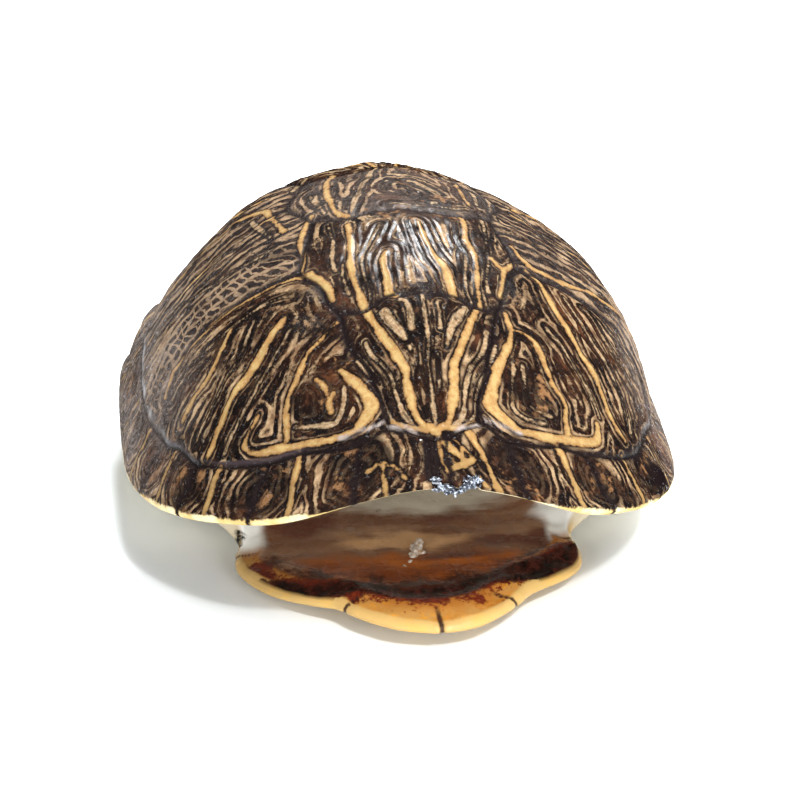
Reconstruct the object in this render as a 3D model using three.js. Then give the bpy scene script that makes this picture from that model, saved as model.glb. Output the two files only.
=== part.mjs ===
// Turtle shell: the high-domed carapace of a river cooter and its plastron, empty and open at both ends.
// Millimetres, +Z up. The head opening faces -Y, and the shell rests on the flat of the plastron at Z = 0.
// The two bony halves meet in a suture along the bridges, where they keep a fine gap.
import * as THREE from 'three';

// Driving dimensions of the carapace
const HALF_LENGTH = 125;
const HALF_WIDTH = 89.5;
const HEIGHT = 102.5;
const APEX_Y = -5;
const WALL = 4.5;              // thickness of the bony dome
const SEAM_WALL = 6;           // thickness where the dome meets the marginal bones
const RIM_THICKNESS = 2.6;     // height of the rounded outer edge
const RIM_DEPTH = 11;          // width of the underside of the marginal bones
const RIM_UNDERCUT = 2.6;      // rise of that underside from the edge to its inner border
const PILLOW = 1.3;            // how far the middle of a scute stands above its seams
const PILLOW_REACH = 8;        // distance from a seam over which a scute swells
const KEEL = 1.4;              // height of the low knobs along the back
const REAR_FLARE = 0.34;       // how far the marginals behind turn outwards
const SERRATION = 1.8;         // depth of the notches between the marginals behind
const END_ALLOWANCE = 0.45;    // added at the tail, where the middle notch takes length away

// Driving dimensions of the plastron
const FLOOR = 5.5;             // thickness of the flat plate
const SUTURE_GAP = 0.4;        // gap between the bridge and the underside of the carapace
const LOBE_FLAT = 0.72;        // share of the way to a lobe's edge that lies flat on the ground
const BRIDGE_FLAT = 0.56;      // share of the way to the bridge's edge that lies flat on the ground
const EDGE_ROUNDING = 0.9;     // how far the middle of the plate's edge stands out

const KERATIN = { color: 0x4b3324, roughness: 0.35, metalness: 0 };
const PLASTRON_HORN = { color: 0xd9ab62, roughness: 0.4, metalness: 0 };

// The outer edge seen from above bulges more than an ellipse does, most of all in front.
const OUTLINE_POWER = { side: 2.0, front: 2.4, rear: 2.1 };
// Fullness of the dome's section: how late it starts to fall, and how steeply it meets the rim.
const SHOULDER = { side: 2.0, front: 1.9, rear: 2.2 };
const STEEPNESS = { side: 1.22, front: 0.78, rear: 1.38 };

// Angles are degrees round the shell from the head end: 0 is -Y, 90 is +X, 180 is the tail.
// The edge arches over the neck, is lowest at the bridge and lifts again over the hind legs and the tail.
const RIM_HEIGHT = [[0, 54], [35, 36], [75, 21], [110, 27.5], [150, 24], [180, 29.5]];
// Seam between the large scutes and the marginals, as a share of the way from the apex to the rim.
const MARGIN_SEAM = [
  [0, 0.866], [10.5, 0.824], [16, 0.853], [29, 0.857], [36, 0.884], [52, 0.917],
  [61, 0.908], [68, 0.917], [90, 0.914], [115, 0.9], [135, 0.88], [160, 0.865], [180, 0.86],
];
// Seams between the twelve marginal scutes of one side, with the narrow cervical scute at the start.
const MARGINAL_SEAMS = [1.5, 16, 36, 53.5, 67, 79, 91, 103, 115.5, 129, 144, 161, 180];
const BRIDGE_FROM = 73;
const BRIDGE_TO = 110;

// Seams of the large scutes of the right half, seen from above.
const SCUTE_SEAMS = [
  [[13, -102], [14.5, -91], [20, -76.5], [23.3, -61.5], [26.2, -55], [28.8, -47], [33, -40], [27.7, -15],
    [34, 4], [27, 24], [33, 44], [22, 64], [34, 88], [39, 103]],
  [[0, -62.4], [10.5, -62.2], [16.5, -63.3], [23.3, -61.5]],
  [[0, -22.5], [18.6, -21], [27.7, -15]],
  [[0, 21], [27, 24]],
  [[0, 62], [22, 64]],
  [[33, -40], [49.5, -34], [66, -29.5], [73, -36], [75.5, -51]],
  [[34, 4], [52, 8], [66, 11], [81, 13]],
  [[33, 44], [48, 50], [62, 57], [70, 62]],
];
const KEEL_KNOBS_Y = [-66, -28, 16, 58];

// Edge of the plastron's right half, front lobe then rear lobe: the lower edge and the upper edge.
const FRONT_LOBE = [
  { low: [0, -117.6, 5.6], high: [0, -115.4, 9.8] },
  { low: [13, -117.4, 5.6], high: [12.4, -114.8, 10] },
  { low: [25, -110.5, 5.2], high: [24, -108, 9.8] },
  { low: [29, -105.5, 4.8], high: [27.6, -103.4, 9.4] },
  { low: [42.5, -94, 3.6], high: [40.8, -92, 8.8] },
  { low: [51.5, -80, 2.4], high: [49.4, -78.6, 8] },
  { low: [54.2, -67, 1.8], high: [51.8, -66.2, 7.6] },
  { low: [53, -57.5, 2.8], high: [50.6, -56.8, 8] },
  { low: [55.5, -51, 6], high: [52.4, -49.8, 10.4] },
  { low: [66, -47.5, 13.4], high: [60.8, -44.8, 17] },
];
const REAR_LOBE = [
  { low: [70, 49.5, 17.6], high: [63, 46.4, 20] },
  { low: [58.5, 51.5, 8.4], high: [54.4, 49.6, 12.4] },
  { low: [52, 58, 3.4], high: [49.6, 57.4, 8.4] },
  { low: [49.6, 74, 2.4], high: [47.4, 73.4, 7.6] },
  { low: [40.5, 97, 3.2], high: [38.8, 95.4, 8] },
  { low: [26, 108.5, 4], high: [25, 106.4, 8.6] },
  { low: [12, 109.5, 4.2], high: [11.6, 107.2, 8.8] },
  { low: [0, 102.5, 4], high: [0, 100.4, 8.6] },
];
const LOBE_STEPS = 18;

// Mesh density
const STEPS_PER_MARGINAL = 4;
const DOME_ROWS = 16;
const MARGIN_ROWS = 4;
const INNER_ROWS = 9;
const FLOOR_ROWS = 6;
const BASE_ROWS = 5;
const DOME_SHARE = 0.84;       // share of the outer rows' range that lies above the marginal seam

const radians = THREE.MathUtils.degToRad;
const smooth = THREE.MathUtils.smoothstep;

// Value of a table of [angle, value] rows on a smooth curve through them, the same on both sides.
function around(table, angle) {
  const turn = Math.abs(THREE.MathUtils.euclideanModulo(angle + 180, 360) - 180);
  const last = table.length - 2;
  const row = Math.min(last, table.findLastIndex(([from]) => from <= turn));
  const [from, low] = table[row];
  const [to, high] = table[row + 1];
  const slopeAt = (i) => {
    if (i <= 0 || i >= table.length - 1) return 0;
    return (table[i + 1][1] - table[i - 1][1]) / (table[i + 1][0] - table[i - 1][0]);
  };
  const u = (turn - from) / (to - from);
  const span = to - from;
  return (2 * u ** 3 - 3 * u ** 2 + 1) * low
    + (u ** 3 - 2 * u ** 2 + u) * span * slopeAt(row)
    + (3 * u ** 2 - 2 * u ** 3) * high
    + (u ** 3 - u ** 2) * span * slopeAt(row + 1);
}

// Blend of a side value with the front or rear value, by the direction round the shell.
function blend(values, angle) {
  const sideways = Math.sin(radians(angle)) ** 2;
  const lengthwise = Math.cos(radians(angle)) > 0 ? values.front : values.rear;
  return values.side * sideways + lengthwise * (1 - sideways);
}

function rimPoint(angle) {
  const across = Math.sin(radians(angle));
  const along = Math.cos(radians(angle));
  const power = along > 0 ? OUTLINE_POWER.front : OUTLINE_POWER.rear;
  const egg = 1 - 0.02 * along;
  const gap = Math.min(...MARGINAL_SEAMS.map((line) => Math.abs(Math.abs(angle) - line)));
  const notch = SERRATION * Math.exp(-((gap / 2.4) ** 2)) * smooth(Math.abs(angle), 100, 130);
  const size = 1 + (END_ALLOWANCE * smooth(-along, 0, 1) - notch) / HALF_LENGTH;
  return new THREE.Vector3(
    HALF_WIDTH * Math.sign(across) * Math.abs(across) ** (2 / OUTLINE_POWER.side) * egg * size,
    -HALF_LENGTH * Math.sign(along) * Math.abs(along) ** (2 / power) * size,
    around(RIM_HEIGHT, angle),
  );
}

// Bare dome: share runs from 0 at the apex to 1 at the rim.
function domePoint(angle, share) {
  const rim = rimPoint(angle);
  const behind = smooth(Math.abs(angle), 115, 165);
  const flare = 1 - REAR_FLARE * behind * smooth(share, 0.78, 1);
  const fall = (1 - share ** blend(SHOULDER, angle)) ** (1 / (blend(STEEPNESS, angle) * flare));
  return new THREE.Vector3(
    rim.x * share,
    APEX_Y + (rim.y - APEX_Y) * share,
    rim.z + (HEIGHT - KEEL - rim.z) * fall,
  );
}

function domeNormal(angle, share) {
  const near = Math.min(Math.max(share, 0.02), 0.985);
  const step = 0.01;
  const outwards = domePoint(angle, near + step).sub(domePoint(angle, near - step));
  const sideways = domePoint(angle + 1, near).sub(domePoint(angle - 1, near));
  return outwards.cross(sideways).normalize();
}

function distanceToLine(x, y, points) {
  let nearest = Infinity;
  for (let i = 0; i + 1 < points.length; i += 1) {
    const [x0, y0] = points[i];
    const [x1, y1] = points[i + 1];
    const length2 = (x1 - x0) ** 2 + (y1 - y0) ** 2;
    const along = THREE.MathUtils.clamp(((x - x0) * (x1 - x0) + (y - y0) * (y1 - y0)) / length2, 0, 1);
    nearest = Math.min(nearest, Math.hypot(x - x0 - along * (x1 - x0), y - y0 - along * (y1 - y0)));
  }
  return nearest;
}

// Height of the scutes above the bare dome: they swell between their seams, and the back has low knobs.
function relief(angle, share) {
  const at = domePoint(angle, share);
  const rim = rimPoint(angle);
  const reach = Math.hypot(rim.x, rim.y);
  const seam = around(MARGIN_SEAM, angle);
  let nearest = Math.abs(share - seam) * reach;
  if (share < seam) {
    nearest = Math.min(nearest, ...SCUTE_SEAMS.map((line) => distanceToLine(Math.abs(at.x), at.y, line)));
  } else {
    const turn = Math.abs(angle);
    const acrossSeam = Math.min(...MARGINAL_SEAMS.map((line) => Math.abs(turn - line)));
    nearest = Math.min(nearest, radians(acrossSeam) * reach);
  }
  const swell = PILLOW * (1 - Math.exp(-nearest / PILLOW_REACH) - 0.5);
  const nearRim = 1 - smooth(share, 0.93, 1);
  const knobs = KEEL_KNOBS_Y.map((y) => Math.exp(-(((at.y - y) / 12) ** 2) - (at.x / 9) ** 2));
  return swell * nearRim + KEEL * Math.max(...knobs);
}

// Outer face of the carapace. Row runs from 0 at the apex over DOME_SHARE at the seam to 1 at the rim.
function shareOfRow(angle, row) {
  const seam = around(MARGIN_SEAM, angle);
  if (row < DOME_SHARE) return (row / DOME_SHARE) * seam;
  return seam + ((row - DOME_SHARE) / (1 - DOME_SHARE)) * (1 - seam);
}

function outerPoint(angle, row) {
  const share = shareOfRow(angle, row);
  return domePoint(angle, share).addScaledVector(domeNormal(angle, share), relief(angle, share));
}

function innerPoint(angle, row) {
  const share = shareOfRow(angle, row);
  const wall = WALL + (SEAM_WALL - WALL) * smooth(row, 0.55, DOME_SHARE);
  return domePoint(angle, share).addScaledVector(domeNormal(angle, share), -wall);
}

// Underside of the marginal bones: depth runs from 0 at the edge to 1 at the inner border.
function undersidePoint(angle, depth) {
  const rim = rimPoint(angle);
  const inwards = new THREE.Vector2(-rim.x, APEX_Y - rim.y).normalize();
  const inset = 0.9 + (RIM_DEPTH - 0.9) * depth;
  return new THREE.Vector3(
    rim.x + inwards.x * inset,
    rim.y + inwards.y * inset,
    rim.z - RIM_THICKNESS / 2 + RIM_UNDERCUT * depth,
  );
}

// Closed skin of pole to pole rows: place(row, column) gives each vertex its place.
function closedSkin(columns, rows, place) {
  const geometry = new THREE.SphereGeometry(1, columns, rows);
  const position = geometry.getAttribute('position');
  for (let row = 0; row <= rows; row += 1) {
    for (let column = 0; column <= columns; column += 1) {
      const { x, y, z } = place(row, column % columns);
      position.setXYZ(row * (columns + 1) + column, x, y, z);
    }
  }
  geometry.computeVertexNormals();
  return geometry;
}

// Angles of one side, with every marginal seam on a column of its own.
function sideAngles() {
  const angles = [0];
  for (let i = 0; i < MARGINAL_SEAMS.length; i += 1) {
    const from = i === 0 ? 0 : MARGINAL_SEAMS[i - 1];
    const steps = i === 0 ? 1 : STEPS_PER_MARGINAL;
    for (let step = 1; step <= steps; step += 1) {
      angles.push(from + ((MARGINAL_SEAMS[i] - from) * step) / steps);
    }
  }
  return angles;
}

const SIDE = sideAngles();

function carapace() {
  const angles = [...SIDE.slice(1, -1).reverse().map((angle) => -angle), ...SIDE];
  angles.unshift(-180);
  angles.pop();
  const outerRows = DOME_ROWS + MARGIN_ROWS;
  const rows = outerRows + 1 + 1 + INNER_ROWS;
  const apex = domePoint(0, 0);
  const ceiling = apex.clone().setZ(apex.z - WALL);
  const geometry = closedSkin(angles.length, rows, (row, column) => {
    const angle = angles[column];
    if (row === 0) return apex;
    if (row === rows) return ceiling;
    if (row <= DOME_ROWS) return outerPoint(angle, (row / DOME_ROWS) * DOME_SHARE);
    if (row < outerRows) {
      return outerPoint(angle, DOME_SHARE + ((row - DOME_ROWS) / MARGIN_ROWS) * (1 - DOME_SHARE));
    }
    if (row === outerRows) return rimPoint(angle).setZ(rimPoint(angle).z + RIM_THICKNESS / 2);
    if (row === outerRows + 1) return undersidePoint(angle, 0);
    if (row === outerRows + 2) return undersidePoint(angle, 1);
    return innerPoint(angle, (DOME_SHARE * (rows - row)) / (INNER_ROWS - 1));
  });
  const shell = new THREE.Mesh(geometry, new THREE.MeshStandardMaterial(KERATIN));
  shell.name = 'carapace';
  return shell;
}

// Points of one lobe's edge on a smooth curve through its rows, lower and upper edge side by side.
function lobeEdge(rows) {
  const through = (key) => new THREE.CatmullRomCurve3(
    rows.map((row) => new THREE.Vector3(...row[key])),
    false,
    'centripetal',
  );
  const low = through('low').getPoints(LOBE_STEPS);
  const high = through('high').getPoints(LOBE_STEPS);
  return low.map((point, i) => ({ low: point, high: high[i] }));
}

// Edge of the bridge, which follows the underside of the marginal bones.
function bridgeEdge() {
  const drop = new THREE.Vector3(0, 0, -SUTURE_GAP);
  return SIDE.filter((angle) => angle >= BRIDGE_FROM && angle <= BRIDGE_TO).map((angle) => ({
    low: undersidePoint(angle, 0.12).add(drop),
    high: undersidePoint(angle, 1).add(drop),
  }));
}

function plastron() {
  const right = [...lobeEdge(FRONT_LOBE), ...bridgeEdge(), ...lobeEdge(REAR_LOBE)];
  const left = right.slice(1, -1).reverse().map(({ low, high }) => ({
    low: low.clone().setX(-low.x),
    high: high.clone().setX(-high.x),
  }));
  const edge = [right.at(-1), ...left, ...right.slice(0, -1)];
  const rows = FLOOR_ROWS + 2 + BASE_ROWS;
  const geometry = closedSkin(edge.length, rows, (row, column) => {
    const { low, high } = edge[column];
    const bridge = smooth(low.z, 6, 18);
    if (row <= FLOOR_ROWS) {
      const share = row / FLOOR_ROWS;
      const rise = share ** (2.6 + 0.8 * bridge);
      return { x: high.x * share, y: high.y * share, z: FLOOR + (high.z - FLOOR) * rise };
    }
    if (row === FLOOR_ROWS + 1) {
      const middle = low.clone().lerp(high, 0.5);
      const outwards = new THREE.Vector3(middle.x, middle.y, 0).normalize();
      return middle.addScaledVector(outwards, EDGE_ROUNDING * (1 - bridge));
    }
    if (row === rows) return { x: 0, y: 0, z: 0 };
    const rise = (rows - row - 1) / (BASE_ROWS - 1);
    const flat = LOBE_FLAT + (BRIDGE_FLAT - LOBE_FLAT) * bridge;
    const share = flat + (1 - flat) * rise;
    return { x: low.x * share, y: low.y * share, z: low.z * rise ** (2 - 0.5 * bridge) };
  });
  const plate = new THREE.Mesh(geometry, new THREE.MeshStandardMaterial(PLASTRON_HORN));
  plate.name = 'plastron';
  return plate;
}

const turtleShell = new THREE.Group();
turtleShell.add(carapace(), plastron());

export default turtleShell;
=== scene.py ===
"""Turtle shell, empty: a high carapace with striped horn scutes, and the plastron it rests on."""
import bpy
import bmesh
import numpy as np
from mathutils import Matrix, Vector, noise


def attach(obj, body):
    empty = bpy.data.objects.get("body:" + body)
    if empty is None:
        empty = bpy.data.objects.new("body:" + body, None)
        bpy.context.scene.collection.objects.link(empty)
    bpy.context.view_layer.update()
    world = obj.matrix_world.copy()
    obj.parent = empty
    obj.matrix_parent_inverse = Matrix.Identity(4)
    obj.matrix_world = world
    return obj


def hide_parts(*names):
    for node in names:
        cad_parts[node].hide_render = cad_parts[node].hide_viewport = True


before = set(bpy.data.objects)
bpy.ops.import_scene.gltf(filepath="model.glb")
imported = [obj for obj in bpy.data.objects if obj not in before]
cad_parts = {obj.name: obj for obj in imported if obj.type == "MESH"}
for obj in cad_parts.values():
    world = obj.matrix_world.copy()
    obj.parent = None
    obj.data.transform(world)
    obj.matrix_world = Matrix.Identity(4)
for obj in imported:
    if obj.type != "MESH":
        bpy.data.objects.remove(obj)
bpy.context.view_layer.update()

# --- Carapace: the dome -------------------------------------------------------------------------
# The upper half of the shell: a vault of bone under thin horn scutes, one narrow cervical, five
# vertebrals along the back, four costals and twelve marginals a side. Grown as one piece. Here it
# is a sphere's net drawn out to the vault, turned under at the rim and up again inside.
HALF_LENGTH, HALF_WIDTH, HEIGHT, APEX_Y = 125.0, 89.5, 102.5, -5.0
WALL, SEAM_WALL = 4.5, 6.0
RIM_THICKNESS, RIM_DEPTH, RIM_UNDERCUT = 2.6, 11.0, 2.6
PILLOW, PILLOW_REACH, KEEL = 1.0, 8.0, 1.4
REAR_FLARE, SERRATION, END_ALLOWANCE = 0.34, 1.8, 0.45
OUTLINE_FRONT, OUTLINE_REAR = 2.4, 2.1
SHOULDER = (2.0, 1.9, 2.2)
STEEPNESS = (1.22, 0.78, 1.38)
RIM_HEIGHT = [(0, 54), (35, 36), (75, 21), (110, 27.5), (150, 24), (180, 29.5)]
MARGIN_SEAM = [
    (0, 0.866), (10.5, 0.824), (16, 0.853), (29, 0.857), (36, 0.884), (52, 0.917),
    (61, 0.908), (68, 0.917), (90, 0.914), (115, 0.9), (135, 0.88), (160, 0.865), (180, 0.86),
]
MARGINAL_SEAMS = [1.5, 16, 36, 53.5, 67, 79, 91, 103, 115.5, 129, 144, 161, 180]
VERTEBRAL_SIDE = [
    (13, -102), (14.5, -91), (20, -76.5), (23.3, -61.5), (26.2, -55), (28.8, -47), (33, -40),
    (27.7, -15), (34, 4), (27, 24), (33, 44), (22, 64), (34, 88), (39, 103),
]
VERTEBRAL_CROSSINGS = [
    [(0, -62.4), (10.5, -62.2), (16.5, -63.3), (23.3, -61.5)],
    [(0, -22.5), (18.6, -21), (27.7, -15)],
    [(0, 21), (27, 24)],
    [(0, 62), (22, 64)],
]
COSTAL_CROSSINGS = [
    [(33, -40), (49.5, -34), (66, -29.5), (73, -36), (75.5, -51)],
    [(34, 4), (52, 8), (66, 11), (81, 13)],
    [(33, 44), (48, 50), (62, 57), (70, 62)],
]
KEEL_KNOBS_Y = [-66, -28, 16, 58]
COLUMNS, DOME_ROWS, MARGIN_ROWS, INNER_ROWS = 700, 92, 20, 22
UNDERSIDE_DEPTHS = [0.0, 0.08, 0.3, 0.65, 1.0]


def smooth(value, low, high):
    share = np.clip((np.asarray(value, float) - low) / (high - low), 0.0, 1.0)
    return share * share * (3.0 - 2.0 * share)


def bell(offset, width):
    """1 where the offset is 0, and next to nothing two or three widths away."""
    return np.exp(-((offset / width) ** 2))


def from_head(angle):
    """Degrees from the head end, up to 180, on either side."""
    return np.abs((np.asarray(angle, float) + 180.0) % 360.0 - 180.0)


def around(rows, angle):
    """Value on a smooth curve through rows of (degrees from the head end, value)."""
    turn = from_head(angle)
    at = np.array([row[0] for row in rows], float)
    value = np.array([row[1] for row in rows], float)
    slope = np.zeros(len(rows))
    slope[1:-1] = (value[2:] - value[:-2]) / (at[2:] - at[:-2])
    i = np.clip(np.searchsorted(at, turn, "right") - 1, 0, len(rows) - 2)
    span = at[i + 1] - at[i]
    u = (turn - at[i]) / span
    return ((2 * u**3 - 3 * u**2 + 1) * value[i] + (u**3 - 2 * u**2 + u) * span * slope[i]
            + (3 * u**2 - 2 * u**3) * value[i + 1] + (u**3 - u**2) * span * slope[i + 1])


def by_direction(values, angle):
    side, front, rear = values
    sideways = np.sin(np.radians(angle)) ** 2
    return side * sideways + np.where(np.cos(np.radians(angle)) > 0, front, rear) * (1 - sideways)


def rim_point(angle):
    across, along = np.sin(np.radians(angle)), np.cos(np.radians(angle))
    turn = from_head(angle)
    power = np.where(along > 0, OUTLINE_FRONT, OUTLINE_REAR)
    gap = np.min([np.abs(turn - line) for line in MARGINAL_SEAMS], axis=0)
    notch = SERRATION * bell(gap, 2.4) * smooth(turn, 100, 130)
    size = 1 + (END_ALLOWANCE * smooth(-along, 0, 1) - notch) / HALF_LENGTH
    x = HALF_WIDTH * np.sign(across) * np.abs(across) * (1 - 0.02 * along) * size
    y = -HALF_LENGTH * np.sign(along) * np.abs(along) ** (2 / power) * size
    return np.stack([x, y, around(RIM_HEIGHT, angle)], axis=-1)


def dome_point(angle, share):
    """Bare dome: share runs from 0 at the top to 1 at the rim."""
    rim = rim_point(angle)
    turn = from_head(angle)
    flare = 1 - REAR_FLARE * smooth(turn, 115, 165) * smooth(share, 0.78, 1)
    power = 1 / (by_direction(STEEPNESS, angle) * flare)
    fall = np.clip(1 - share ** by_direction(SHOULDER, angle), 0, 1) ** power
    x = rim[..., 0] * share
    y = APEX_Y + (rim[..., 1] - APEX_Y) * share
    z = rim[..., 2] + (HEIGHT - KEEL - rim[..., 2]) * fall
    return np.stack([x, y, z], axis=-1)


def dome_normal(angle, share):
    near = np.clip(share, 0.02, 0.985)
    outwards = dome_point(angle, near + 0.01) - dome_point(angle, near - 0.01)
    sideways = dome_point(angle + 1, near) - dome_point(angle - 1, near)
    normal = np.cross(outwards, sideways)
    return normal / np.linalg.norm(normal, axis=-1, keepdims=True)


def waves(points, length, seed):
    """Smooth wandering value between about -1 and 1 that changes over the given length."""
    rng = np.random.default_rng(seed)
    total = np.zeros(len(points))
    for _ in range(14):
        way = rng.normal(size=3)
        way /= np.linalg.norm(way)
        turns = rng.uniform(0.6, 1.5) * 2 * np.pi / length
        total += np.sin(points @ way * turns + rng.uniform(0, 2 * np.pi))
    return total / 4.0


def distance_to(points, line, reach=1e9):
    """Distance from each point to a line of points, in the same number of dimensions."""
    line = np.asarray(line, float)
    nearest = np.full(len(points), 1e3)
    near = np.all((points > line.min(0) - reach) & (points < line.max(0) + reach), axis=1)
    some = points[near]
    best = np.full(len(some), 1e6)
    for start, end in zip(line[:-1], line[1:]):
        way = end - start
        along = np.clip((some - start) @ way / max(way @ way, 1e-9), 0, 1)
        gap = some - start - along[:, None] * way
        best = np.minimum(best, np.einsum("ij,ij->i", gap, gap))
    nearest[near] = np.sqrt(best)
    return nearest


def finished(name, bm):
    """The mesh of that name, from what has been built in bm."""
    mesh = bpy.data.meshes.new(name)
    bm.to_mesh(mesh)
    bm.free()
    return mesh


def sphere_net(name, columns, rows):
    """A sphere's net to be moved into shape: its mesh, its points, and each point's row from 0."""
    bm = bmesh.new()
    bmesh.ops.create_uvsphere(bm, u_segments=columns, v_segments=rows, radius=1.0)
    mesh = finished(name, bm)
    points = np.empty(len(mesh.vertices) * 3, dtype=np.float32)
    mesh.vertices.foreach_get("co", points)
    points = points.reshape(-1, 3).astype(float)
    row = np.rint(np.arccos(np.clip(points[:, 2], -1, 1)) / np.pi * rows).astype(int)
    return mesh, points, row


def keep(mesh, **kept):
    """Keeps numbers or vectors for each vertex, where the finishes find them by name."""
    for name, values in kept.items():
        kind, field = "FLOAT", "value"
        if isinstance(values, tuple):
            kind, field, values = "FLOAT_VECTOR", "vector", np.stack(values, axis=1)
        layer = mesh.attributes.new(name, kind, "POINT")
        layer.data.foreach_set(field, values.astype(np.float32).ravel())


def shape(mesh, place):
    """Moves the vertices to their places, given in mm, and shades the faces smoothly."""
    mesh.vertices.foreach_set("co", (place * 0.001).astype(np.float32).ravel())
    mesh.polygons.foreach_set("use_smooth", np.ones(len(mesh.polygons), dtype=bool))
    mesh.update()


rows_in_all = DOME_ROWS + MARGIN_ROWS + 1 + len(UNDERSIDE_DEPTHS) + INNER_ROWS
carapace_mesh, net, row = sphere_net("carapace_shell", COLUMNS, rows_in_all)
count = len(row)
angle = np.degrees(np.arctan2(net[:, 0], -net[:, 1]))
turn = np.abs(angle)

seam_share = around(MARGIN_SEAM, angle)
OUTER_ROWS = DOME_ROWS + MARGIN_ROWS
FIRST_INNER = OUTER_ROWS + 1 + len(UNDERSIDE_DEPTHS)
inside = row >= FIRST_INNER
share = seam_share * np.clip(row / DOME_ROWS, 0, 1) ** 0.85
beyond = np.clip((row - DOME_ROWS) / MARGIN_ROWS, 0, 1)
share = np.where(row > DOME_ROWS, seam_share + (1 - seam_share) * beyond, share)
inner_row = np.clip((rows_in_all - row) / (rows_in_all - FIRST_INNER), 0, 1)
share = np.where(inside, seam_share * inner_row, share)

bare = dome_point(angle, share)
normal = dome_normal(angle, share)

# Seams between the scutes, which wander a little from the straight lines between their corners.
wander = np.stack([waves(bare, 17, 3), waves(bare, 17, 4), np.zeros(count)], axis=1) * 0.45
plan = np.stack([np.abs(bare[:, 0]), bare[:, 1]], axis=1) + wander[:, :2]
step = 0.004
down = np.linalg.norm(
    dome_point(angle, np.minimum(share + step, 1)) - dome_point(angle, share - step), axis=1
) / (np.minimum(share + step, 1) - share + step)
round_rim = np.linalg.norm(dome_point(angle + 0.5, share) - dome_point(angle - 0.5, share), axis=1)
wavy_share = share + waves(bare, 19, 5) * 0.0035
to_margin = (wavy_share - seam_share) * down
on_marginals = share > seam_share
wavy_turn = turn + waves(bare, 9, 6) * 0.35
to_each = np.abs(wavy_turn - np.array(MARGINAL_SEAMS)[:, None]) * round_rim
to_marginal_seams = np.min(to_each, axis=0)
large_seams = [VERTEBRAL_SIDE, *VERTEBRAL_CROSSINGS, *COSTAL_CROSSINGS]
to_large_seams = np.min([distance_to(plan, line) for line in large_seams], axis=0)
seam = np.minimum(np.abs(to_margin), np.where(on_marginals, to_marginal_seams, to_large_seams))
cervical = dome_point(np.array([-1.6, -1.7, -1.6]), np.array([0.872, 0.92, 0.97]))
seam = np.minimum(seam, np.maximum(distance_to(bare, cervical) - 1.3, 0))

# Which scute each point is on: 0-4 vertebrals, 10-13 costals, 20 and on the marginals.
side_x, side_y = zip(*VERTEBRAL_SIDE)
is_vertebral = plan[:, 0] < np.interp(plan[:, 1], side_y, side_x)
vertebral, costal = [
    sum((plan[:, 1] > np.interp(plan[:, 0], *zip(*line))).astype(int) for line in lines)
    for lines in (VERTEBRAL_CROSSINGS, COSTAL_CROSSINGS)]
marginal = np.searchsorted(MARGINAL_SEAMS, wavy_turn)
scute = np.where(on_marginals, 20 + marginal, np.where(is_vertebral, vertebral, 10 + costal))

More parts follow.
